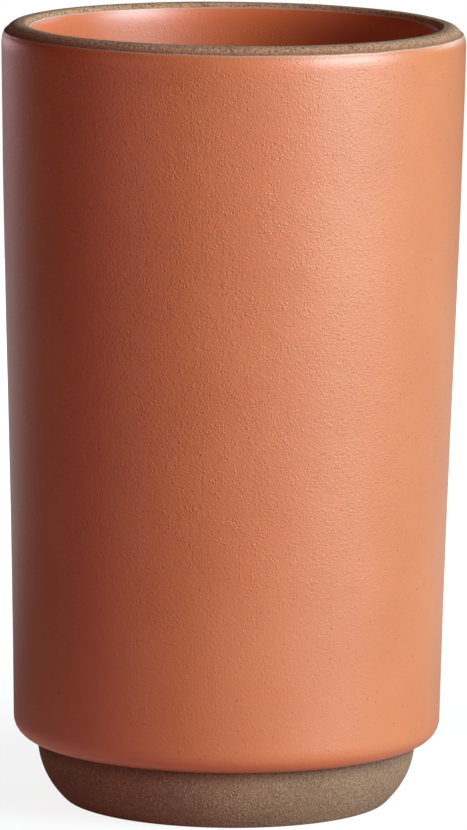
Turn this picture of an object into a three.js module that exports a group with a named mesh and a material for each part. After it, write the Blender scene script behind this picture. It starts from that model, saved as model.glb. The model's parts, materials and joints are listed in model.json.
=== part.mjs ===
// A tall stoneware tumbler without a handle: one fired clay body, whose lip and set-in foot
// are left bare, and two satin glaze coats on it, one round the outside and one inside.
// Sizes are in millimetres, +Z is up, and the origin is the middle of the foot on the table.
import * as THREE from "three";

// Driving dimensions of the cup as it stands glazed
const height = 135.3;
const mouthRadius = 40;
const waistRadius = 37.1;
const wallThickness = 5.1;

// The glaze on the wall, and where it thins out at its edges on the lip
const glazeThickness = 0.3;
const glazeEdgeThickness = 0.12;

// The wall leans outwards a little faster at mid height than at its two ends, by this share
const wallEase = 0.27;

// The lip: a wide rounding outside, a narrow flat crest, and a longer, softer slope inside
const lipOuterReach = 3;
const lipOuterRise = 3.3;
const crestWidth = 0.75;
const lipInnerRise = 3;

// The coats stop this far below the crest
const outerBareDrop = 1.25;
const innerBareDrop = 0.7;

// The shoulder, whose rounding runs all the way under to the foot, and the foot set in below it
const stepHeight = 10.6;
const shoulderRise = 3.7;
const footSetIn = 4.2;
const footUndercut = 4.8;
const footEdgeRadius = 0.7;
const footRingWidth = 4;
const recessDepth = 1.2;

// The floor inside
const floorThickness = 7.1;
const floorCornerRadius = 12.7;

// Fineness of the turned surfaces
const stepsRound = 72;
const wallSteps = 8;
const curveSteps = 6;
const smallCurveSteps = 4;

const down = -Math.PI / 2;
const outwards = 0;
const up = Math.PI / 2;
const inwards = Math.PI;

// Sizes that follow from the driving dimensions
const footRadius = waistRadius - footSetIn;
const shoulderTop = stepHeight + shoulderRise;
const lipOuterStart = height - lipOuterRise;
const lipInnerStart = height - lipInnerRise;
const crestOuterRadius = mouthRadius - lipOuterReach;
const crestInnerRadius = crestOuterRadius - crestWidth;
const outerGlazeLine = Math.asin(1 - outerBareDrop / lipOuterRise);
const innerGlazeLine = inwards - Math.asin(1 - innerBareDrop / lipInnerRise);
const floorTop = recessDepth + floorThickness;
const cornerTop = floorTop + floorCornerRadius;

// A stretch of the section is a list of places on the cup's finished face. Each has the
// direction that faces away from the clay, and the depth at which the clay lies under it.
// This stretch follows an ellipse about a centre, from one direction round to another.
function curvedStretch({ centre, reach, rise, from, to, steps, depths, side = 1 }) {
  const places = [];
  for (let i = 0; i <= steps; i += 1) {
    const share = i / steps;
    const turn = THREE.MathUtils.lerp(from, to, share);
    const across = Math.cos(turn);
    const upwards = Math.sin(turn);
    places.push({
      at: new THREE.Vector2(centre.x + reach * across, centre.y + rise * upwards),
      facing: new THREE.Vector2(across / reach, upwards / rise).normalize().multiplyScalar(side),
      depth: THREE.MathUtils.lerp(depths[0], depths[1], share),
    });
  }
  return places;
}

// Outside radius of the wall at a height: a straight lean with a soft S laid over it
function wallRadius(z) {
  const span = lipOuterStart - shoulderTop;
  const share = THREE.MathUtils.clamp((z - shoulderTop) / span, 0, 1);
  const eased = share - (wallEase * Math.sin(2 * Math.PI * share)) / (2 * Math.PI);
  return THREE.MathUtils.lerp(waistRadius, mouthRadius, eased);
}

// Inside radius of the wall at a height
function boreRadius(z) {
  return wallRadius(z) - wallThickness;
}

// A stretch of wall between two heights. The wall leans so little that its coat is laid on
// level, straight out from the axis.
function wallStretch(radiusAt, fromHeight, toHeight, side) {
  const places = [];
  for (let i = 0; i <= wallSteps; i += 1) {
    const z = THREE.MathUtils.lerp(fromHeight, toHeight, i / wallSteps);
    places.push({
      at: new THREE.Vector2(radiusAt(z), z),
      facing: new THREE.Vector2(side, 0),
      depth: glazeThickness,
    });
  }
  return places;
}

// The lip's outside rounding, from one direction to another
function outerLip(from, to, steps, depths) {
  const centre = new THREE.Vector2(crestOuterRadius, lipOuterStart);
  const reach = lipOuterReach;
  return curvedStretch({ centre, reach, rise: lipOuterRise, from, to, steps, depths });
}

// The lip's inside rounding, from one direction to another
function innerLip(from, to, steps, depths) {
  const centre = new THREE.Vector2(crestInnerRadius, lipInnerStart);
  const reach = crestInnerRadius - boreRadius(lipInnerStart);
  return curvedStretch({ centre, reach, rise: lipInnerRise, from, to, steps, depths });
}

// Joins stretches end to end, leaving out the place that each shares with the one before
function joined(...stretches) {
  return stretches.flatMap((stretch, i) => (i === 0 ? stretch : stretch.slice(1)));
}

function faceSide(stretch) {
  return stretch.map((place) => place.at.clone());
}

function claySide(stretch) {
  return stretch.map((place) => place.at.clone().addScaledVector(place.facing, -place.depth));
}

// The outside coat: the shoulder from the foot's root, the wall, and the lip's flank
function outerCoatStretch() {
  const shoulder = curvedStretch({
    centre: new THREE.Vector2(footRadius, shoulderTop),
    reach: waistRadius - footRadius,
    rise: shoulderRise,
    from: down,
    to: outwards,
    steps: curveSteps,
    depths: [glazeThickness, glazeThickness],
  });
  const wall = wallStretch(wallRadius, shoulderTop, lipOuterStart, 1);
  const thinning = [glazeThickness, glazeEdgeThickness];
  return joined(shoulder, wall, outerLip(outwards, outerGlazeLine, smallCurveSteps, thinning));
}

// The bare lip between the coats, which lies flush with the cup's face at its crest
function bareLipStretch() {
  return [
    ...outerLip(outerGlazeLine, up, curveSteps, [glazeEdgeThickness, 0]),
    ...innerLip(up, innerGlazeLine, smallCurveSteps, [0, glazeEdgeThickness]),
  ];
}

// The inside coat: the lip's inside, the wall, and the floor to its middle
function innerCoatStretch() {
  const thickening = [glazeEdgeThickness, glazeThickness];
  const lip = innerLip(innerGlazeLine, inwards, smallCurveSteps, thickening);
  const wall = wallStretch(boreRadius, lipInnerStart, cornerTop, -1);
  const corner = curvedStretch({
    centre: new THREE.Vector2(boreRadius(cornerTop) - floorCornerRadius, cornerTop),
    reach: floorCornerRadius,
    rise: floorCornerRadius,
    from: outwards,
    to: down,
    steps: curveSteps,
    depths: [glazeThickness, glazeThickness],
    side: -1,
  });
  const middle = {
    at: new THREE.Vector2(0, floorTop),
    facing: new THREE.Vector2(0, 1),
    depth: glazeThickness,
  };
  return [...joined(lip, wall, corner), middle];
}

// The foot, from the middle of its shallow recess out to its root under the shoulder.
// Its side is one arc, upright at the root, and a small rounding joins the arc to the base.
function footOutline() {
  const sideRadius = (footUndercut ** 2 + stepHeight ** 2) / (2 * footUndercut);
  const sideCentre = footRadius - sideRadius;
  const rise = stepHeight - footEdgeRadius;
  const edgeCentre = sideCentre + Math.sqrt((sideRadius - footEdgeRadius) ** 2 - rise ** 2);
  const meeting = Math.atan2(-rise, edgeCentre - sideCentre);
  const edge = curvedStretch({
    centre: new THREE.Vector2(edgeCentre, footEdgeRadius),
    reach: footEdgeRadius,
    rise: footEdgeRadius,
    from: down,
    to: meeting,
    steps: smallCurveSteps,
    depths: [0, 0],
  });
  const side = curvedStretch({
    centre: new THREE.Vector2(sideCentre, stepHeight),
    reach: sideRadius,
    rise: sideRadius,
    from: meeting,
    to: outwards,
    steps: curveSteps,
    depths: [0, 0],
  });
  const ringInside = edgeCentre - footRingWidth;
  return [
    new THREE.Vector2(0, recessDepth),
    new THREE.Vector2(ringInside - recessDepth, recessDepth),
    new THREE.Vector2(ringInside, 0),
    ...faceSide(joined(edge, side)),
  ];
}

// Turns a closed section about the upright axis
function turned(name, outline, material) {
  const geometry = new THREE.LatheGeometry(outline, stepsRound);
  geometry.rotateX(Math.PI / 2);
  const mesh = new THREE.Mesh(geometry, material);
  mesh.name = name;
  return mesh;
}

function clayBody() {
  const body = joined(outerCoatStretch(), bareLipStretch(), innerCoatStretch());
  const stoneware = new THREE.MeshStandardMaterial({
    color: 0xa88062,
    roughness: 0.9,
    metalness: 0,
  });
  return turned("clay_body", [...footOutline(), ...claySide(body)], stoneware);
}

function glazeCoat(name, stretch) {
  const satinGlaze = new THREE.MeshStandardMaterial({
    color: 0xdf7e50,
    roughness: 0.5,
    metalness: 0,
  });
  return turned(name, closedCoat(stretch), satinGlaze);
}

// The outside coat is a ring, so its outline comes back to its first point.
// The inside coat reaches the axis at both ends of its outline.
function closedCoat(stretch) {
  const skin = faceSide(stretch);
  const bed = claySide(stretch).reverse();
  const endsOnAxis = bed[0].x === 0;
  return endsOnAxis ? [...bed, ...skin] : [...skin, ...bed, skin[0].clone()];
}

const tumbler = new THREE.Group();
tumbler.name = "tumbler";
tumbler.add(clayBody());
tumbler.add(glazeCoat("outer_glaze", outerCoatStretch()));
tumbler.add(glazeCoat("liner_glaze", innerCoatStretch()));

export default tumbler;
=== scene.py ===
# %% [markdown]
# # A tall stoneware tumbler
#
# The cup is one fired clay body with two coats of satin glaze on it: one round the outside and
# one lining the inside. The lip and the foot stay bare, so three surfaces meet in thin lines.
# This script dresses a measured frame of those three solids. The frame fixes how large the cup
# is, and each step below says what a surface is on the real cup before it makes it.

# %% Load the measured frame
import json
import math

import bpy
import numpy as np
from mathutils import Matrix, Vector

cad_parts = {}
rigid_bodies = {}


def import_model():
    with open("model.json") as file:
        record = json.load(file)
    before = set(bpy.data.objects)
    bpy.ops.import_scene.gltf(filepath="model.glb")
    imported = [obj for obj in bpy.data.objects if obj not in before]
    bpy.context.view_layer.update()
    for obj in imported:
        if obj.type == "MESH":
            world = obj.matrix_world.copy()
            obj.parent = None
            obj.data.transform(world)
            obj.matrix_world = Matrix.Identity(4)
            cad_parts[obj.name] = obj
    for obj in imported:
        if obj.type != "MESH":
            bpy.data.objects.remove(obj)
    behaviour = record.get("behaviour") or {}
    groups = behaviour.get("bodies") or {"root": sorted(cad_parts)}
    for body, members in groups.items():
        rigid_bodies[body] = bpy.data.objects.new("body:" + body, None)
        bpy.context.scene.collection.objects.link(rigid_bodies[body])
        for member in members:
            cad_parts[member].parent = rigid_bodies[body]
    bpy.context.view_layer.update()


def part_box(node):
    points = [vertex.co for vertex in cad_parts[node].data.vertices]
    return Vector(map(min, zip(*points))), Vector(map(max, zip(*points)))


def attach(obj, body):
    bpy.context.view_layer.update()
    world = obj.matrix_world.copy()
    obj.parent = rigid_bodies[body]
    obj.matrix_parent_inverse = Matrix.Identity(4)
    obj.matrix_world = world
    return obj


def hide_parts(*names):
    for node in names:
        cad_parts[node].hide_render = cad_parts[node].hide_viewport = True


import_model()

# %% [markdown]
# ## Sizes
#
# The overall sizes could be typed in again, but then the dressed cup could drift away from its
# frame. So they are read off the frame's own solids. The lip, the shoulder and the foot have the
# sizes of the section that the solids were turned from, here in metres. They are sizes of the
# finished face: the glaze where there is glaze, and the clay where it is bare.

# %% Sizes read from the frame, and the section's own sizes
MM = 0.001

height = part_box("clay_body")[1].z
mouth_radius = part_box("outer_glaze")[1].x
coat_depth = mouth_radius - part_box("clay_body")[1].x
step_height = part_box("outer_glaze")[0].z

WAIST_RADIUS = 37.1 * MM
WALL_THICKNESS = 5.1 * MM
WALL_EASE = 0.27
LIP_OUTER_REACH = 3 * MM
LIP_OUTER_RISE = 3.3 * MM
CREST_WIDTH = 0.75 * MM
LIP_INNER_RISE = 3 * MM
OUTER_BARE_DROP = 1.25 * MM
INNER_BARE_DROP = 0.7 * MM
SHOULDER_RISE = 3.7 * MM
FOOT_SET_IN = 4.2 * MM
FOOT_UNDERCUT = 4.8 * MM
FOOT_EDGE_RADIUS = 0.7 * MM
FOOT_RING_WIDTH = 4 * MM
RECESS_DEPTH = 1.2 * MM
FLOOR_THICKNESS = 7.1 * MM
FLOOR_CORNER_RADIUS = 12.7 * MM

foot_radius = WAIST_RADIUS - FOOT_SET_IN
shoulder_top = step_height + SHOULDER_RISE
lip_outer_start = height - LIP_OUTER_RISE
lip_inner_start = height - LIP_INNER_RISE
crest_outer = mouth_radius - LIP_OUTER_REACH
crest_inner = crest_outer - CREST_WIDTH
floor_top = RECESS_DEPTH + FLOOR_THICKNESS
corner_top = floor_top + FLOOR_CORNER_RADIUS
print(f"height {height / MM:.1f} mm, mouth {2 * mouth_radius / MM:.1f} mm across")

# %% [markdown]
# ## The section
#
# A potter's section is half of the cup cut through its axis. It could be drawn by hand as a
# curve, but then its sizes would have to be measured afterwards. Each stretch of it is an arc or
# an eased line, so it is written as one: a run of points (radius, height).
#
# All runs go the same way, from under the foot, up the outside, over the lip, and down the inside
# to the floor, so the side that faces away from the clay is always on the right of the run.

# %% Curves that the section is made of
DOWN, OUTWARDS, UP, INWARDS = -np.pi / 2, 0, np.pi / 2, np.pi


def arc_run(centre, reach, rise, start, stop, count):
    """Points of an ellipse about a centre: radius = centre + reach * cos(turn) and
    height = centre + rise * sin(turn), with turn going evenly from start to stop."""
    turn = np.linspace(start, stop, count)
    return np.column_stack([centre[0] + reach * np.cos(turn), centre[1] + rise * np.sin(turn)])


def wall_radius(z):
    """Outside radius of the wall at a height: a straight lean from waist to mouth, with one
    wave of a sine taken off its share, so that it leans less at its two ends."""
    share = np.clip((z - shoulder_top) / (lip_outer_start - shoulder_top), 0, 1)
    eased = share - WALL_EASE * np.sin(2 * np.pi * share) / (2 * np.pi)
    return WAIST_RADIUS + (mouth_radius - WAIST_RADIUS) * eased


def wall_run(start, stop, behind, count):
    """Points between two heights of the wall, at a distance behind its outside."""
    z = np.linspace(start, stop, count)
    return np.column_stack([wall_radius(z) - behind, z])


def level_run(start, stop, z, count):
    """Points between two radii, all at one height."""
    return np.column_stack([np.linspace(start, stop, count), np.full(count, z)])


def joined(*runs):
    """Runs end to end, each without the point that it shares with the run before it."""
    return np.vstack([runs[0]] + [run[1:] for run in runs[1:]])


def along(run):
    """Distance along a run from its first point to each of its points."""
    return np.concatenate([[0], np.cumsum(np.linalg.norm(np.diff(run, axis=0), axis=1))])


def facing(run):
    """Outward direction at each point of a run: its heading turned a quarter to the right."""
    heading = np.gradient(run, axis=0)
    outward = np.column_stack([heading[:, 1], -heading[:, 0]])
    return outward / np.linalg.norm(outward, axis=1)[:, None]


def smooth(share):
    """0 to 1 with level ends: 3 * share squared - 2 * share cubed."""
    share = np.clip(share, 0, 1)
    return share * share * (3 - 2 * share)


# %% The face of the cup: shoulder, wall, lip, bore and floor
outer_line = math.asin(1 - OUTER_BARE_DROP / LIP_OUTER_RISE)
inner_line = INWARDS - math.asin(1 - INNER_BARE_DROP / LIP_INNER_RISE)
outer_lip = ((crest_outer, lip_outer_start), LIP_OUTER_REACH, LIP_OUTER_RISE)
inner_reach = crest_inner - (mouth_radius - WALL_THICKNESS)
inner_lip = ((crest_inner, lip_inner_start), inner_reach, LIP_INNER_RISE)

outer_run = joined(
    arc_run((foot_radius, shoulder_top), FOOT_SET_IN, SHOULDER_RISE, DOWN, OUTWARDS, count=40),
    wall_run(shoulder_top, lip_outer_start, behind=0, count=60),
    arc_run(*outer_lip, OUTWARDS, outer_line, count=20),
)
bare_lip_run = joined(
    arc_run(*outer_lip, outer_line, UP, count=30),
    level_run(crest_outer, crest_inner, height, count=8),
    arc_run(*inner_lip, UP, inner_line, count=16),
)
corner_centre = (wall_radius(corner_top) - WALL_THICKNESS - FLOOR_CORNER_RADIUS, corner_top)
corner = (corner_centre, FLOOR_CORNER_RADIUS, FLOOR_CORNER_RADIUS)
inner_run = joined(
    arc_run(*inner_lip, inner_line, INWARDS, count=8),
    wall_run(lip_inner_start, corner_top, WALL_THICKNESS, count=60),
    arc_run(*corner, OUTWARDS, DOWN, count=40),
    level_run(corner_centre[0], 0, floor_top, count=24),
)
print(f"the face has {len(outer_run)} points outside and {len(inner_run)} inside")

# %% [markdown]
# ## The clay under the face
#
# The glaze lies on the clay, a few tenths of a millimetre thick, and it thins out towards the
# lines on the lip where it was wiped away. Scaling the section down would leave a coat of uneven
# depth. So the clay's own section is the face, with each point moved in by a depth that follows
# from the distance to the two glaze lines.

# %% The clay's section
EDGE_DEPTH = 0.1 * MM
THINNING = 2.2 * MM

outer_length, bare_length = along(outer_run)[-1], along(bare_lip_run)[-1]


def coat_depth_at(to_line):
    """Depth of the clay under a coat, by the distance to the coat's glaze line on the lip."""
    return EDGE_DEPTH + (coat_depth - EDGE_DEPTH) * smooth(to_line / THINNING)


def bare_depth_at(to_line):
    """Depth of the bare clay behind the cup's face: it comes up flush away from the glaze."""
    return EDGE_DEPTH * (1 - smooth(to_line / THINNING))


face_run = joined(outer_run, bare_lip_run, inner_run)
past_outer_line = along(face_run) - outer_length
past_inner_line = past_outer_line - bare_length
clay_depth = np.where(
    past_outer_line < 0, coat_depth_at(-past_outer_line),
    np.where(past_inner_line > 0, coat_depth_at(past_inner_line),
             bare_depth_at(np.minimum(past_outer_line, -past_inner_line))),
)
clay_face = face_run - facing(face_run) * clay_depth[:, None]
clay_face[-1, 0] = 0

side_radius = (FOOT_UNDERCUT**2 + step_height**2) / (2 * FOOT_UNDERCUT)
side_centre = (foot_radius - side_radius, step_height)
edge_rise = step_height - FOOT_EDGE_RADIUS
edge_offset = math.sqrt((side_radius - FOOT_EDGE_RADIUS) ** 2 - edge_rise**2)
edge_centre = (side_centre[0] + edge_offset, FOOT_EDGE_RADIUS)
meeting = math.atan2(-edge_rise, edge_offset)
ring_inside = edge_centre[0] - FOOT_RING_WIDTH
recess_edge = ring_inside - RECESS_DEPTH
foot_run = joined(
    level_run(0, recess_edge, RECESS_DEPTH, count=30),
    arc_run((recess_edge, 0), RECESS_DEPTH, RECESS_DEPTH, UP, OUTWARDS, count=10),
    level_run(ring_inside, edge_centre[0], 0, count=6),
    arc_run(edge_centre, FOOT_EDGE_RADIUS, FOOT_EDGE_RADIUS, DOWN, meeting, count=12),
    arc_run(side_centre, side_radius, side_radius, meeting, OUTWARDS, count=36),
)
clay_run = np.vstack([foot_run, clay_face])
print(f"the clay section has {len(clay_run)} points")

# %% [markdown]
# ## Turned surfaces
#
# A wheel makes a surface of revolution, but a made one is never exact: it is true to a few
# hundredths of a millimetre, and the light shows it. A Screw modifier could turn the section,
# and a Displace modifier could add the unevenness. Here one sum does both, so that the place of
# every point is known: each surface is a grid of rings and steps round the axis, and a relief
# moves every point of it along its own outward direction. The relief is a few seeded waves,
# gentle and wide, worked out for the whole grid.

# %% Grids round the axis
AROUND = 256
turns = np.linspace(0, 2 * np.pi, AROUND, endpoint=False)
random = np.random.default_rng(seed=7)
print(f"{AROUND} steps round the axis")


def waves(distance, count, most_round, longest, shortest):
    """Sum of cosines of (whole number * turn + pace * distance + phase), scaled to about
    -1..1: the soft unevenness of a turned surface. Distance and turn fill the same grid."""
    total = np.zeros(np.broadcast(distance, turns).shape)
    for _ in range(count):
        pace = 2 * np.pi / random.uniform(shortest, longest)
        phase = random.uniform(0, 2 * np.pi)
        total += np.cos(random.integers(1, most_round) * turns + pace * distance + phase)
    return total / math.sqrt(count) / 2


def swept(radius, z, outward_radius, outward_z, lift):
    """Turns section points about the axis: each is moved out by lift along its outward
    direction, and then placed at (radius * cos(turn), radius * sin(turn), height)."""
    r = radius + outward_radius * lift
    points = np.empty(np.broadcast(r, turns).shape + (3,))
    points[..., 0] = r * np.cos(turns)
    points[..., 1] = r * np.sin(turns)
    points[..., 2] = z + outward_z * lift
    return points


# %% Meshes from grids
def grid_faces(rings, closed):
    """Four corners of each cell of a grid that wraps round the axis. If closed, the last ring
    also joins the first one."""
    lower = np.arange(rings if closed else rings - 1)[:, None] * AROUND
    upper = (lower + AROUND) % (rings * AROUND)
    here = np.arange(AROUND)[None, :]
    after = (here + 1) % AROUND
    return np.stack([lower + here, lower + after, upper + after, upper + here], -1).reshape(-1, 4)


def mesh_piece(name, points, closed, marks):
    """Makes one closed mesh from a grid of points. An open grid starts and ends next to the
    axis, where a fan of triangles round one middle point closes it. Marks are named values of
    the grid's points, which a material can read."""
    rings = len(points)
    vertices = points.reshape(-1, 3)
    faces = grid_faces(rings, closed).tolist()
    if not closed:
        first, last = rings * AROUND, rings * AROUND + 1
        middles = np.array([[0, 0, points[0, :, 2].mean()], [0, 0, points[-1, :, 2].mean()]])
        vertices = np.vstack([vertices, middles])
        here = np.arange(AROUND)
        after = (here + 1) % AROUND
        top = (rings - 1) * AROUND
        faces += np.column_stack([np.full(AROUND, first), after, here]).tolist()
        faces += np.column_stack([np.full(AROUND, last), top + here, top + after]).tolist()
    mesh = bpy.data.meshes.new(name)
    mesh.from_pydata(vertices, [], faces)
    for mark, values in marks.items():
        layer = mesh.attributes.new(mark, "FLOAT", "POINT")
        spread = np.broadcast_to(values, (rings, AROUND)).ravel()
        spread = np.pad(spread, (0, len(vertices) - spread.size), mode="edge")
        layer.data.foreach_set("value", spread.astype(np.float32))
    mesh.shade_smooth()
    piece = bpy.data.objects.new(name, mesh)
    bpy.context.scene.collection.objects.link(piece)
    return piece


def litres(piece):
    """Enclosed volume by summing the signed tetrahedra between the origin and each triangle.
    It is above zero only if the faces point outwards."""
    mesh = piece.data
    mesh.calc_loop_triangles()
    corners = np.empty(len(mesh.loop_triangles) * 3, int)
    mesh.loop_triangles.foreach_get("vertices", corners)
    places = np.empty(len(mesh.vertices) * 3)
    mesh.vertices.foreach_get("co", places)
    a, b, c = places.reshape(-1, 3)[corners.reshape(-1, 3)].transpose(1, 0, 2)
    return np.einsum("ij,ij->i", a, np.cross(b, c)).sum() / 6 * 1000


# %% [markdown]
# ## The clay body
#
# The body is one closed surface from the middle of the recess under the foot to the middle of
# the floor. Only the foot and the lip of it show. The frame's own solid could have been kept, but
# the flat steps round it would show on the lip, so a finer grid takes its place.
#
# The relief only ever takes clay away, so the cup keeps its height and width. A mark on the mesh
# says how far each point is from the glaze.

# %% The clay body
CLAY_RELIEF = 0.025 * MM

clay_distance = along(clay_run)[:, None]
clay_waves = waves(clay_distance, count=9, most_round=14, longest=24 * MM, shortest=5 * MM)
clay_lift = CLAY_RELIEF * (clay_waves - 1)
clay_lift *= clay_run[:, 1:] > FOOT_EDGE_RADIUS
to_glaze = np.concatenate([
    np.linalg.norm(foot_run - foot_run[-1], axis=1),
    np.clip(np.minimum(past_outer_line, -past_inner_line), 0, None),
])
stoneware_body = mesh_piece(
    "stoneware_body",
    swept(*[column[:, None] for column in (*clay_run.T, *facing(clay_run).T)], clay_lift)[1:-1],
    closed=False,
    marks={"glaze_distance": to_glaze[1:-1, None]},
)
print(f"clay body: {len(stoneware_body.data.polygons)} faces, {litres(stoneware_body):.4f} litres")

# %% [markdown]
# ## The glaze coats
#
# Glaze is dipped or sprayed on, wiped off the lip and the foot, and melts in the kiln. Surface
# tension rounds its edge and swells a thin roll just behind it, and the edge wanders a little
# along the clay. Glaze could be painted on the clay as a second colour, but its edge would then
# have no thickness to catch the light. A coat is therefore a closed skin: its outer side is the
# cup's face, which rounds down to the clay at the edge, and its inner side bites a little into
# the clay, as a fired glaze does.

# %% A coat laid on a run of the face
COAT_BITE = 0.05 * MM
EDGE_ROUNDING = 0.12 * MM
ROLL_HEIGHT = 0.035 * MM
ROLL_PLACE = 0.22 * MM
ROLL_WIDTH = 0.14 * MM
COAT_RELIEF = 0.02 * MM
EDGE_BAND = 1.2 * MM
EDGE_RINGS = 24


def edge_shape(edge_distance, depth):
    """Height of a coat's face above the clay near its edge: a quarter of an ellipse up to the
    full depth, with a bell-shaped roll laid over it just behind the edge."""
    rounding = np.clip(edge_distance / EDGE_ROUNDING, 0, 1)
    roll = np.exp(-(((edge_distance - ROLL_PLACE) / ROLL_WIDTH) ** 2))
    return (depth + ROLL_HEIGHT * roll) * np.sqrt(1 - (1 - rounding) ** 2)


def ring_places(length, rings, to_the_end):
    """Distances along a coat, crowded into the band behind each edge."""
    crowd = EDGE_BAND * (1 - np.cos(np.linspace(0, np.pi / 2, EDGE_RINGS)))[:-1]
    if to_the_end:
        return np.concatenate([crowd, np.linspace(EDGE_BAND, length, rings)])
    middle = np.linspace(EDGE_BAND, length - EDGE_BAND, rings)
    return np.concatenate([crowd, middle, (length - crowd)[::-1]])


def edge_waves():
    """One seeded value for each step round the axis, from about -1 to 1, for a coat's edge."""
    return waves(np.zeros((1, 1)), count=12, most_round=46, longest=MM, shortest=MM)


def coat_piece(name, run, depth, rings, wander, reaches_axis):
    """Lays a coat on a run of the face. Its edges wander by a few seeded waves of the turn, and
    the rings between them are stretched to fit. The skin goes along the run, and the bed comes
    back along it inside the clay."""
    distance = along(run)
    length = distance[-1]
    start = wander * (edge_waves() + 1)
    stop = length - (0 if reaches_axis else wander * (edge_waves() + 1))
    share = ring_places(length, rings, reaches_axis)[:, None] / length
    place = start + share * (stop - start)
    to_edge = place - start if reaches_axis else np.minimum(place - start, stop - place)
    section = [np.interp(place, distance, column) for column in (*run.T, *facing(run).T)]
    here = np.interp(place, distance, depth)
    relief = waves(place, count=12, most_round=12, longest=46 * MM, shortest=9 * MM)
    relief = COAT_RELIEF * (relief - 1)
    skin = swept(*section, edge_shape(to_edge, here) - here + relief * smooth(to_edge / EDGE_BAND))
    bed = swept(*section, -here - COAT_BITE)[::-1]
    if reaches_axis:
        points, marks = np.vstack([bed, skin])[1:-1], np.vstack([to_edge[::-1], to_edge])[1:-1]
    else:
        points, marks = np.vstack([skin, bed]), np.vstack([to_edge, to_edge[::-1]])
    return mesh_piece(name, points, not reaches_axis, {"edge_distance": marks})


# %% The two coats
EDGE_WANDER = 0.08 * MM

outer_coat = coat_piece(
    "outer_coat", outer_run, clay_depth[:len(outer_run)],
    rings=140, wander=EDGE_WANDER, reaches_axis=False,
)
liner_coat = coat_piece(
    "liner_coat", inner_run, clay_depth[-len(inner_run):],
    rings=130, wander=EDGE_WANDER, reaches_axis=True,
)
for coat in (outer_coat, liner_coat):
    print(f"{coat.name}: {len(coat.data.polygons)} faces, {litres(coat):.4f} litres")

# %% [markdown]
# ## Writing materials as sums
#
# A finish is arithmetic on patterns: spots times a strength, one minus a mask. It could be wired
# by hand in the shader editor, but a sum is easier to read and to change. Two small classes
# allow that. A Socket is one value in the node tree, and +, - and * on it add the Math nodes. A
# Finish adds every other node by one method, with its settings first, and then the value or the
# link of each of its sockets.

# %% One value in a node tree
class Socket:
    """One output in a node tree. Arithmetic on it adds Math nodes."""

    def __init__(self, finish, link):
        self.finish = finish
        self.link = link

    def math(self, operation, first, second):
        """One Math node on two values, of which either may be a plain number."""
        return self.finish.add("ShaderNodeMath", {"operation": operation}, {0: first, 1: second})

    def __add__(self, other):
        return self.math("ADD", self, other)

    def __radd__(self, other):
        return self.math("ADD", other, self)

    def __sub__(self, other):
        return self.math("SUBTRACT", self, other)

    def __rsub__(self, other):
        return self.math("SUBTRACT", other, self)

    def __mul__(self, other):
        return self.math("MULTIPLY", self, other)

    def __rmul__(self, other):
        return self.math("MULTIPLY", other, self)

    def rising(self, low, high):
        """0 below low, 1 above high, and a smooth step between them."""
        return self.finish.add(
            "ShaderNodeMapRange", {"interpolation_type": "SMOOTHSTEP"},
            {"Value": self, "From Min": low, "From Max": high}, "Result",
        )


# %% [markdown]
# ## Patterns
#
# Each pattern on this cup is a cloud or a scatter. Clouds are a Noise texture. A scatter is a
# Voronoi texture, which gives the distance to the nearest of many points strewn through space,
# and close to a point is a grain, a speck or a pinhole. Patterns could also be painted on an
# unwrapped skin, but one that is worked out from the place has no seam.

# %% A finish, and its patterns
SPOT_CORE = 0.6
SPOT_CHOICE = 0.001
GRAIN_REACH = 0.55
GRAIN_BIAS = 0.9


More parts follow.
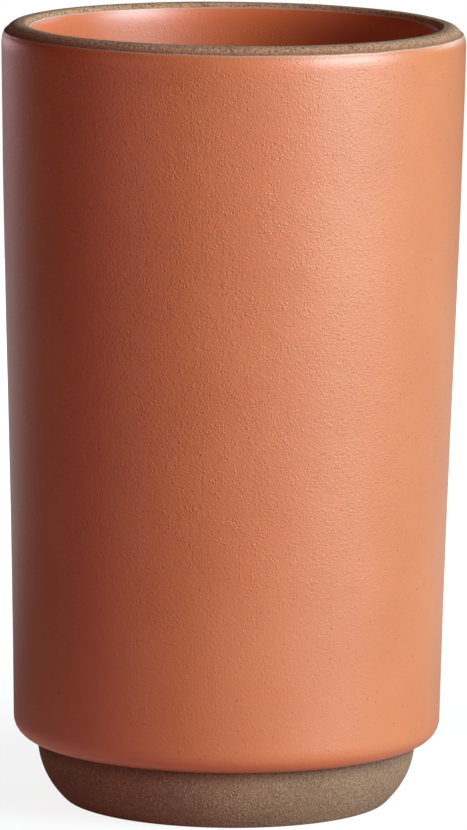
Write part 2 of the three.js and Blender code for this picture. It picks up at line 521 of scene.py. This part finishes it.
class Finish:
    """A node tree being written, with one method that adds any node."""

    def __init__(self, tree):
        self.tree = tree
        tree.nodes.clear()

    def add(self, kind, settings=None, sockets=None, output=0):
        """Adds a node, sets it up, fills or links its sockets, and gives back one output."""
        node = self.tree.nodes.new(kind)
        for name, value in (settings or {}).items():
            setattr(node, name, value)
        for key, value in (sockets or {}).items():
            target = self.pick(node.inputs, key)
            if isinstance(value, Socket):
                self.tree.links.new(value.link, target)
            else:
                target.default_value = value
        return Socket(self, self.pick(node.outputs, output)) if node.outputs else None

    @staticmethod
    def pick(sockets, key):
        """A socket by its place, or the one in use that has that name."""
        if isinstance(key, int):
            return sockets[key]
        return next(socket for socket in sockets if socket.enabled and socket.name == key)

    def colour(self, factor, first, second):
        """The first colour where the factor is 0, and the second where it is 1."""
        return self.add(
            "ShaderNodeMix", {"data_type": "RGBA"},
            {"Factor": factor, "A": first, "B": second}, "Result",
        )

    def place(self):
        """The point on the piece, in metres."""
        return self.add("ShaderNodeTexCoord", output="Object")

    def moved(self, place, offset):
        """The same place moved off, so that a second pattern doesn't repeat the first."""
        return self.add("ShaderNodeVectorMath", {"operation": "ADD"}, {0: place, 1: offset})

    def coordinate(self, place, axis):
        """One coordinate of a place: X, Y or Z."""
        return self.add("ShaderNodeSeparateXYZ", None, {0: place}, axis)

    def length(self, place):
        """Distance of a place from the origin."""
        return self.add("ShaderNodeVectorMath", {"operation": "LENGTH"}, {0: place}, "Value")

    def radius(self, place):
        """Distance of a place from the cup's axis: the length of it without its height."""
        level = self.add(
            "ShaderNodeVectorMath", {"operation": "MULTIPLY"}, {0: place, 1: (1, 1, 0)}
        )
        return self.length(level)

    def mark(self, name):
        """A named value that the mesh carries."""
        return self.add("ShaderNodeAttribute", {"attribute_name": name}, None, "Fac")

    def bump(self, depth, height):
        """A surface direction tilted by a relief whose height 1 stands for the depth."""
        return self.add(
            "ShaderNodeBump", None, {"Strength": 1.0, "Distance": depth, "Height": height}
        )

    def noise(self, place, size, detail, roughness=0.5):
        """Cloudy pattern from 0 to 1 whose blobs are about size across."""
        return self.add(
            "ShaderNodeTexNoise", None,
            {"Vector": place, "Scale": 1 / size, "Detail": detail, "Roughness": roughness},
        )

    def cells(self, place, size, output="Distance"):
        """Scattered points about size apart: the distance to the nearest, or its own colour."""
        return self.add(
            "ShaderNodeTexVoronoi", None, {"Vector": place, "Scale": 1 / size}, output
        )

    def lot(self, place, size):
        """A number from 0 to 1 drawn for each scattered point, the same all round it."""
        colour = self.cells(place, size, "Color")
        return self.add("ShaderNodeSeparateColor", None, {0: colour}, "Red")

    def spots(self, place, spacing, radius, share):
        """1 inside small round spots with a soft rim, about spacing apart, of which only a
        share is kept."""
        reach = radius / spacing
        near = 1 - self.cells(place, spacing).rising(SPOT_CORE * reach, reach)
        return near * self.lot(place, spacing).rising(1 - share, 1 + SPOT_CHOICE - share)

    def grains(self, place, size):
        """Round bumps and pits about size apart, from about -1 to 1, each of its own height."""
        near = 1 - self.cells(place, size).rising(0.0, GRAIN_REACH)
        return near * (self.lot(place, size) * 2 - GRAIN_BIAS)

    def surface(self, shader):
        """Ends the material with what its surface shows."""
        self.add("ShaderNodeOutputMaterial", None, {"Surface": shader})


# %% New materials, and colours
def new_material(name):
    """A material without nodes, and the finish that will write them."""
    material = bpy.data.materials.new(name)
    material.use_nodes = True
    return material, Finish(material.node_tree)


def linear(red, green, blue):
    """A colour as a screen's numbers give it, 0 to 255, turned into light: a straight line
    near black, and a power of 2.4 above it."""
    shown = np.array([red, green, blue]) / 255
    light = np.where(shown <= 0.04045, shown / 12.92, ((shown + 0.055) / 1.055) ** 2.4)
    return (*light.tolist(), 1.0)


# %% [markdown]
# ## The glaze
#
# A satin terracotta glaze is full of tiny crystals, which scatter the light: it is neither
# glossy nor dry. Close up it has an eggshell grain with pinholes. One plain shiny layer would
# be either too smooth or too rough for it, so this finish is two layers: a grainy coloured one
# below, and a smooth thin coat over it that gives the soft highlights.
#
# The grain is calmer in small patches, towards the foot, in the band behind each edge where the
# melted glaze pooled, and inside the cup. The lining's deeper red is painted bounce light: the
# redder light that goes round inside the mouth. Right at its edge the coat is thin, and its pale
# line is partly the paler clay showing through and partly a painted highlight.

# %% Colours and sizes of the glaze
GLAZE = linear(224, 128, 78)
GLAZE_DEEP = linear(219, 123, 73)
# Painted bounce light: the deeper red that light takes on inside the mouth, on the same glaze.
GLAZE_INSIDE_BOUNCE = linear(226, 112, 61)
GLAZE_PINHOLE = linear(120, 42, 22)
# Pale edge line: partly clay showing through the thin glaze, partly a painted highlight.
GLAZE_EDGE_AND_HIGHLIGHT = linear(208, 162, 138)

CLOUD_RANGE = (0.3, 0.7)
PATCH_RANGE = (0.35, 0.6)

GLAZE_ROUGHNESS = 0.48
GLAZE_POOLED_ROUGHNESS = 0.4
GLAZE_INDEX = 1.55
GLASS_ROUGHNESS = 0.42
GLASS_INDEX = 1.41

EGGSHELL = 0.52 * MM
EGGSHELL_RELIEF = 0.088 * MM
FINER_GRAIN = 0.62
FINER_GRAIN_SHARE = 0.6
CLOUDY_GRAIN = 0.8
PATCH = 3 * MM
PATCH_CALM = 0.35
PATCH_LEAST = 0.58
CLOUD = 20 * MM

PINHOLE_SPACING = 1.6 * MM
PINHOLE_RADIUS = 0.19 * MM
PINHOLE_SHARE = 0.4
PINHOLE_SHADE = 0.5
PINHOLE_DEPTH = 0.4

EDGE_LINE = 0.5 * MM
EDGE_LINE_CORE = 0.3
EDGE_SHADE = 0.8
POOL = 4.2 * MM
POOL_CORE = 0.25
POOL_CALM = 0.5
INSIDE_CALM = 0.6
CALM_BELOW = 10 * MM
LIVELY_ABOVE = 70 * MM
FOOT_GRAIN = 0.4

PATCH_SHIFT = (0.13, 0.29, 0.11)
FINE_SHIFT = (0.21, 0.05, 0.17)
SPOT_SHIFT = (0.31, 0.17, 0.23)


# %% The satin glaze
def eggshell(finish, place):
    """Two sizes of round grains and a soft noise, added up into one relief."""
    fine = finish.moved(place, FINE_SHIFT)
    grain = finish.grains(place, EGGSHELL)
    grain = grain + finish.grains(fine, FINER_GRAIN * EGGSHELL) * FINER_GRAIN_SHARE
    return grain + finish.noise(fine, CLOUDY_GRAIN * EGGSHELL, detail=1.0)


def grain_strength(finish, place, pooled, inside):
    """How much of the grain shows: 1 at most, and less in the calm places."""
    patch = finish.noise(finish.moved(place, PATCH_SHIFT), PATCH, detail=1.0)
    patch = patch.rising(*PATCH_RANGE)
    upper = finish.coordinate(place, "Z").rising(CALM_BELOW, LIVELY_ABOVE)
    strength = (patch * PATCH_CALM + PATCH_LEAST) * (upper * (1 - FOOT_GRAIN) + FOOT_GRAIN)
    return strength * (1 - pooled * POOL_CALM) * (1 - inside * INSIDE_CALM)


def satin_glaze():
    """A Principled surface: the grainy coloured layer, with the smooth thin coat as its Coat."""
    material, finish = new_material("satin_glaze")
    place = finish.place()
    edge = finish.mark("edge_distance")
    inside = 1 - finish.radius(place).rising(crest_inner, crest_outer)
    pooled = 1 - edge.rising(POOL_CORE * POOL, POOL)
    # Band of the pale edge line, partly thin glaze and partly painted highlight.
    edge_line_and_highlight = 1 - edge.rising(EDGE_LINE_CORE * EDGE_LINE, EDGE_LINE)
    cloud = finish.noise(place, CLOUD, detail=2.0).rising(*CLOUD_RANGE)
    holes = finish.moved(place, SPOT_SHIFT)
    holes = finish.spots(holes, PINHOLE_SPACING, PINHOLE_RADIUS, PINHOLE_SHARE)

    colour = finish.colour(cloud, GLAZE_DEEP, GLAZE)
    # Inside the cup the colour turns to the painted deeper red of bounced light.
    colour = finish.colour(inside, colour, GLAZE_INSIDE_BOUNCE)
    colour = finish.colour(holes * PINHOLE_SHADE, colour, GLAZE_PINHOLE)
    # The pale edge line is partly the clay under the thin glaze and partly a painted highlight.
    colour = finish.colour(edge_line_and_highlight * EDGE_SHADE, colour, GLAZE_EDGE_AND_HIGHLIGHT)
    relief = eggshell(finish, place) - holes * PINHOLE_DEPTH
    relief = relief * grain_strength(finish, place, pooled, inside)
    roughness = GLAZE_ROUGHNESS - pooled * (GLAZE_ROUGHNESS - GLAZE_POOLED_ROUGHNESS)
    finish.surface(finish.add(
        "ShaderNodeBsdfPrincipled", None,
        {"Base Color": colour, "Roughness": roughness, "IOR": GLAZE_INDEX,
         "Normal": finish.bump(EGGSHELL_RELIEF, relief),
         "Coat Weight": 1.0, "Coat Roughness": GLASS_ROUGHNESS, "Coat IOR": GLASS_INDEX},
    ))
    return material


glaze = satin_glaze()
print(f"{glaze.name}: {len(glaze.node_tree.nodes)} nodes")

# %% [markdown]
# ## The bare clay
#
# Fired stoneware without glaze is dry and sandy: a cloudy brown with quartz that looks light and
# iron that looks dark, in grains a few tenths of a millimetre across. It could be modelled grain
# by grain, but at this size spots and noise that tilt the surface do as well.
#
# The lip was wiped with a wet sponge, which washes the fine clay off, so its grains are bolder.
# It is also paler than the foot: partly the wiped clay, and partly painted light from above on
# the lip. Next to the glaze the clay is painted darker: a soft band of painted shadow on the foot
# under the shoulder, and a narrow line of painted shade in the crease on the lip's flank.

# %% Colours and sizes of the clay
CLAY = linear(168, 128, 98)
# Paler lip clay: partly the wiped clay, partly painted light from above.
CLAY_WIPED_AND_TOP_LIT = linear(213, 154, 115)
# Painted shade in the crease next to the glaze on the lip's flank.
CLAY_CREASE_SHADE = linear(140, 84, 56)
CLAY_DARK = linear(98, 71, 52)
CLAY_LIGHT = linear(228, 198, 162)
# Dark of the iron specks, also used for the painted shadow under the shoulder.
CLAY_IRON_AND_SHADOW = linear(58, 40, 31)
CLAY_ROUGHNESS = 0.95

SAND = 0.42 * MM
SAND_RANGE = (0.35, 0.6)
SAND_RELIEF = 0.1 * MM
SAND_SHADE = 0.42
CLAY_CLOUD = 9 * MM
CLOUD_SHADE = 0.2
WIPED_BOLDNESS = 0.5

QUARTZ_SPACING = 0.5 * MM
QUARTZ_RADIUS = 0.22 * MM
QUARTZ_SHARE = 0.5
QUARTZ_SHADE = 0.24
QUARTZ_HEIGHT = 0.25
IRON_SPACING = 0.6 * MM
IRON_RADIUS = 0.24 * MM
IRON_SHARE = 0.4
IRON_SHADE = 0.35
IRON_DEPTH = 0.3

# Reach and strength of the painted shadow that the shoulder casts on the foot.
SHOULDER_SHADOW_REACH = 3 * MM
SHOULDER_SHADOW_AMOUNT = 0.5
# Reach and strength of the painted crease shade on the lip's flank.
CREASE_SHADE_REACH = 1.1 * MM
CREASE_SHADE_AMOUNT = 0.7
FOOT_BELOW = 30 * MM
LIP_ABOVE = 50 * MM


# %% The bare stoneware
def bare_stoneware():
    """A Principled surface, nearly without shine: each colour is laid over those before it."""
    material, finish = new_material("bare_stoneware")
    place = finish.place()
    seam = finish.mark("glaze_distance")
    sand = finish.noise(place, SAND, detail=2.0, roughness=0.6)
    cloud = finish.noise(place, CLAY_CLOUD, detail=2.0).rising(*CLOUD_RANGE)
    quartz = finish.spots(place, QUARTZ_SPACING, QUARTZ_RADIUS, QUARTZ_SHARE)
    iron = finish.moved(place, SPOT_SHIFT)
    iron = finish.spots(iron, IRON_SPACING, IRON_RADIUS, IRON_SHARE)
    wiped = finish.coordinate(place, "Z").rising(FOOT_BELOW, LIP_ABOVE)
    bolder = wiped * WIPED_BOLDNESS + 1
    # Painted shadow: the foot's clay darkened under the shoulder, near the glaze.
    painted_shoulder_shadow = (1 - seam.rising(0.0, SHOULDER_SHADOW_REACH)) * (1 - wiped)
    flank = finish.radius(place).rising(crest_outer, crest_outer + MM)
    # Painted shade: a narrow dark line in the crease next to the glaze on the lip's flank.
    painted_crease_shade = (1 - seam.rising(0.0, CREASE_SHADE_REACH)) * flank

    # The lip's paler colour is partly the wiped clay and partly painted light from above.
    colour = finish.colour(wiped, CLAY, CLAY_WIPED_AND_TOP_LIT)
    colour = finish.colour(cloud * CLOUD_SHADE + (1 - CLOUD_SHADE), CLAY_DARK, colour)
    dark_sand = 1 - sand.rising(*SAND_RANGE)
    colour = finish.colour(dark_sand * bolder * SAND_SHADE, colour, CLAY_DARK)
    colour = finish.colour(quartz * bolder * QUARTZ_SHADE, colour, CLAY_LIGHT)
    colour = finish.colour(iron * bolder * IRON_SHADE, colour, CLAY_IRON_AND_SHADOW)
    # Painted shadow of the shoulder on the foot.
    colour = finish.colour(painted_shoulder_shadow * SHOULDER_SHADOW_AMOUNT, colour, CLAY_IRON_AND_SHADOW)
    colour = finish.colour(painted_crease_shade * CREASE_SHADE_AMOUNT, colour, CLAY_CREASE_SHADE)
    relief = sand + quartz * QUARTZ_HEIGHT - iron * IRON_DEPTH
    finish.surface(finish.add(
        "ShaderNodeBsdfPrincipled", None,
        {"Base Color": colour, "Roughness": CLAY_ROUGHNESS,
         "Normal": finish.bump(SAND_RELIEF, relief)},
    ))
    return material


clay = bare_stoneware()
print(f"{clay.name}: {len(clay.node_tree.nodes)} nodes")

# %% [markdown]
# ## Dressing the pieces
#
# Each surface gets its finish, takes the place of the frame's plain solid of the same part, and
# says which of the cup's materials it shows. Both coats share one glaze, which tells the lining
# from the outside by the distance to the axis. The cup has nothing that moves, so all three ride
# on the root of the frame.

# %% Dressing the pieces
for piece, node, finish_slot, material in (
    (stoneware_body, "clay_body", "bare_stoneware", clay),
    (outer_coat, "outer_glaze", "satin_glaze", glaze),
    (liner_coat, "liner_glaze", "satin_glaze", glaze),
):
    piece.data.materials.append(material)
    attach(piece, "root")
    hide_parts(node)
    print(f"{piece.name} takes the place of {node}, in {finish_slot}")

# %% [markdown]
# ## The table and the studio
#
# The cup stands on a white table in a white studio, and the camera sees little more of them
# than white with a faint shadow. More light would bleach the cup, so the white is a glow that
# only the camera's own rays see, mixed over a plain white table.
#
# The cup's own rays see a duller table, so that it doesn't fill the dark side of the cup. Behind
# the cup they see it glow, which lights the two outlines. Rays that mirror off the glaze see a
# warm glowing patch beside the foot, a painted reflection of the cup's own colour in the table,
# which gives the shoulder the rosy line along its underside.

# %% Size and glow of the table
TABLE_RADIUS = 0.7
TABLE = linear(222, 220, 218)
TABLE_BOUNCE = linear(150, 148, 146)
WHITE = (1, 1, 1, 1)
# Colour of the glowing patch: a painted reflection of the cup's orange in the table.
CUP_REFLECTION_COLOUR = (1, 0.55, 0.5, 1)
TABLE_WHITE = 1.3
NEAR_GLOW = 0.67
NEAR_EDGE = 0.08
FAR_EDGE = 0.3
BACK_GLOW = 0.36
BACK_TURN = 0.4
BACK_FROM = 0.04
BACK_FULL = 0.2
CUP_REFLECTION_GLOW = 0.35
CUP_REFLECTION_FULL = 0.05
CUP_REFLECTION_EDGE = 0.1

# %% The table top
table_mesh = bpy.data.meshes.new("table")
rim = TABLE_RADIUS * np.column_stack([np.cos(turns), np.sin(turns), np.zeros(AROUND)])
table_mesh.from_pydata(rim, [], [list(range(AROUND))])
table = bpy.data.objects.new("table", table_mesh)
bpy.context.scene.collection.objects.link(table)
table_material, table_finish = new_material("white_table")


def table_shader(kind, **sockets):
    """A plain shader for the table, with its sockets by name."""
    return table_finish.add(kind, None, sockets)


def table_mix(factor, first, second):
    """The first shader where the factor is 0, and the second where it is 1."""
    return table_finish.add("ShaderNodeMixShader", None, {0: factor, 1: first, 2: second})


# %% What each kind of ray sees of the table
spot = table_finish.place()
away = table_finish.length(spot)
camera_ray = table_finish.add("ShaderNodeLightPath", output="Is Camera Ray")
glossy_ray = table_finish.add("ShaderNodeLightPath", output="Is Glossy Ray")
behind = table_finish.coordinate(spot, "Y") + table_finish.coordinate(spot, "X") * BACK_TURN

seen = camera_ray * (away.rising(NEAR_EDGE, FAR_EDGE) * (1 - NEAR_GLOW) + NEAR_GLOW)
glow = (1 - camera_ray) * behind.rising(BACK_FROM, BACK_FULL) * BACK_GLOW
# A warm glowing patch by the foot, seen only by mirror rays: a painted reflection of the cup.
painted_cup_reflection = glossy_ray * (1 - away.rising(CUP_REFLECTION_FULL, CUP_REFLECTION_EDGE)) * CUP_REFLECTION_GLOW

dull = table_shader("ShaderNodeBsdfDiffuse", Color=TABLE_BOUNCE)
pale = table_shader("ShaderNodeBsdfDiffuse", Color=TABLE)
white = table_shader("ShaderNodeEmission", Color=WHITE, Strength=TABLE_WHITE)
warm = table_shader("ShaderNodeEmission", Color=CUP_REFLECTION_COLOUR, Strength=TABLE_WHITE)
lit = table_mix(seen + glow, table_mix(camera_ray, dull, pale), white)
table_finish.surface(table_mix(painted_cup_reflection, lit, warm))
table.data.materials.append(table_material)
print(f"the table is {2 * TABLE_RADIUS:.1f} m across")

# %% The studio, white to the camera and dark to the cup
world = bpy.data.worlds.new("studio")
world.use_nodes = True
studio = Finish(world.node_tree)
camera_sees = studio.add("ShaderNodeLightPath", output="Is Camera Ray")
backdrop = studio.add("ShaderNodeBackground", None, {"Color": WHITE, "Strength": camera_sees})
studio.add("ShaderNodeOutputWorld", None, {"Surface": backdrop})
bpy.context.scene.world = world
print(f"the {world.name} has {len(world.node_tree.nodes)} nodes")

# %% [markdown]
# ## The soft lights
#
# Shadow and shine on the cup tell where the light came from: one large soft light to the right
# of the camera and a little above it. It is cooler than the glow that the room gives back, which
# is what keeps its highlights white and the half light red. Weak warm cards low round the front
# stand for that room, two weak lights behind draw the edges, and one overhead picks out the lip.
# The cards are low, because a higher one would shine into the mouth, whose right side is dark.
#
# A picture of a real studio wrapped round the scene could light it too, but then no single light
# could be moved or dimmed. Here each one is a rectangle with a place, a size and a level.

# %% The soft lights
LAMP_DISTANCE = 1.2


def softbox(name, azimuth, elevation, width, tall, level, colour=(1, 1, 1)):
    """A rectangle of light that faces the cup. Azimuth 0 is on the camera's side and 90 is on
    its right. At level 1 it lights a white surface that faces it to 1."""
    turn, tilt = math.radians(azimuth), math.radians(elevation)
    lamp = bpy.data.lights.new(name, "AREA")
    lamp.shape = "RECTANGLE"
    lamp.size = width
    lamp.size_y = tall
    lamp.energy = level * math.pi**2 * LAMP_DISTANCE**2
    lamp.color = colour
    light = bpy.data.objects.new(name, lamp)
    level_away = math.cos(tilt)
    away = Vector((math.sin(turn) * level_away, -math.cos(turn) * level_away, math.sin(tilt)))
    light.location = Vector((0, 0, height / 2)) + LAMP_DISTANCE * away
    light.rotation_euler = away.to_track_quat("Z", "Y").to_euler()
    light.visible_camera = False
    bpy.context.scene.collection.objects.link(light)


softbox(
    "key_softbox", azimuth=60, elevation=18, width=0.7, tall=0.6,
    level=1.35, colour=(0.64, 0.99, 1.1),
)
softbox(
    "warm_card", azimuth=39, elevation=12, width=0.4, tall=0.3,
    level=0.2, colour=(1, 0.22, 0.22),
)
softbox(
    "front_card", azimuth=10, elevation=2, width=0.5, tall=0.2,
    level=0.08, colour=(1, 0.3, 0.35),
)
softbox(
    "side_card", azimuth=-50, elevation=2, width=0.5, tall=0.2,
    level=0.1, colour=(1, 0.37, 0.4),
)
softbox(
    "rim_softbox", azimuth=-147, elevation=2, width=0.5, tall=0.2,
    level=0.055, colour=(1, 0.66, 0.7),
)
softbox(
    "back_softbox", azimuth=140, elevation=20, width=0.5, tall=0.4,
    level=0.2, colour=(0.75, 0.9, 1),
)
softbox("top_softbox", azimuth=60, elevation=72, width=0.5, tall=0.5, level=0.09)
print(f"{len(bpy.data.lights)} soft lights, {LAMP_DISTANCE} m away")

# %% [markdown]
# ## The camera
#
# The photograph was taken from a little above, from a good metre away, with the camera leaning
# by half a degree. A camera could be pushed about by hand until the two pictures look alike. Its
# values come instead from a fit of the cup's rim and foot ellipses and its sides, which settles
# the distance and the lens together.

# %% The camera
IMAGE_HEIGHT = 830
IMAGE_WIDTH = 467
MOUTH_RADIUS_PX = 230.88
FOCAL_PX = 7710
CUP_MIDDLE_PX = (229.80, 412.08)
CAMERA_ELEVATION = math.radians(8.8)
CAMERA_LEAN = math.radians(0.624)

middle = Vector((0, 0, height / 2))
camera_distance = FOCAL_PX * mouth_radius / MOUTH_RADIUS_PX
camera_data = bpy.data.cameras.new("camera")
camera_data.sensor_width = 36
camera_data.lens = camera_data.sensor_width * FOCAL_PX / IMAGE_HEIGHT
camera_data.shift_x = (IMAGE_WIDTH / 2 - CUP_MIDDLE_PX[0]) / IMAGE_HEIGHT
camera_data.shift_y = (CUP_MIDDLE_PX[1] - IMAGE_HEIGHT / 2) / IMAGE_HEIGHT
camera = bpy.data.objects.new("camera", camera_data)
camera.matrix_world = (
    Matrix.Translation(middle)
    @ Matrix.Rotation(math.pi / 2 - CAMERA_ELEVATION, 4, "X")
    @ Matrix.Rotation(CAMERA_LEAN, 4, "Z")
    @ Matrix.Translation((0, 0, camera_distance))
)
bpy.context.scene.collection.objects.link(camera)
bpy.context.scene.camera = camera
print(f"camera {camera_distance:.3f} m away, lens {camera_data.lens:.0f} mm")

# %% [markdown]
# ## Showing the colours
#
# The picture shows colours as they are written, with no film look over them, because the
# finishes are set against a photograph.

# %% Colours as written
bpy.context.scene.view_settings.view_transform = "Standard"
print("view transform", bpy.context.scene.view_settings.view_transform)
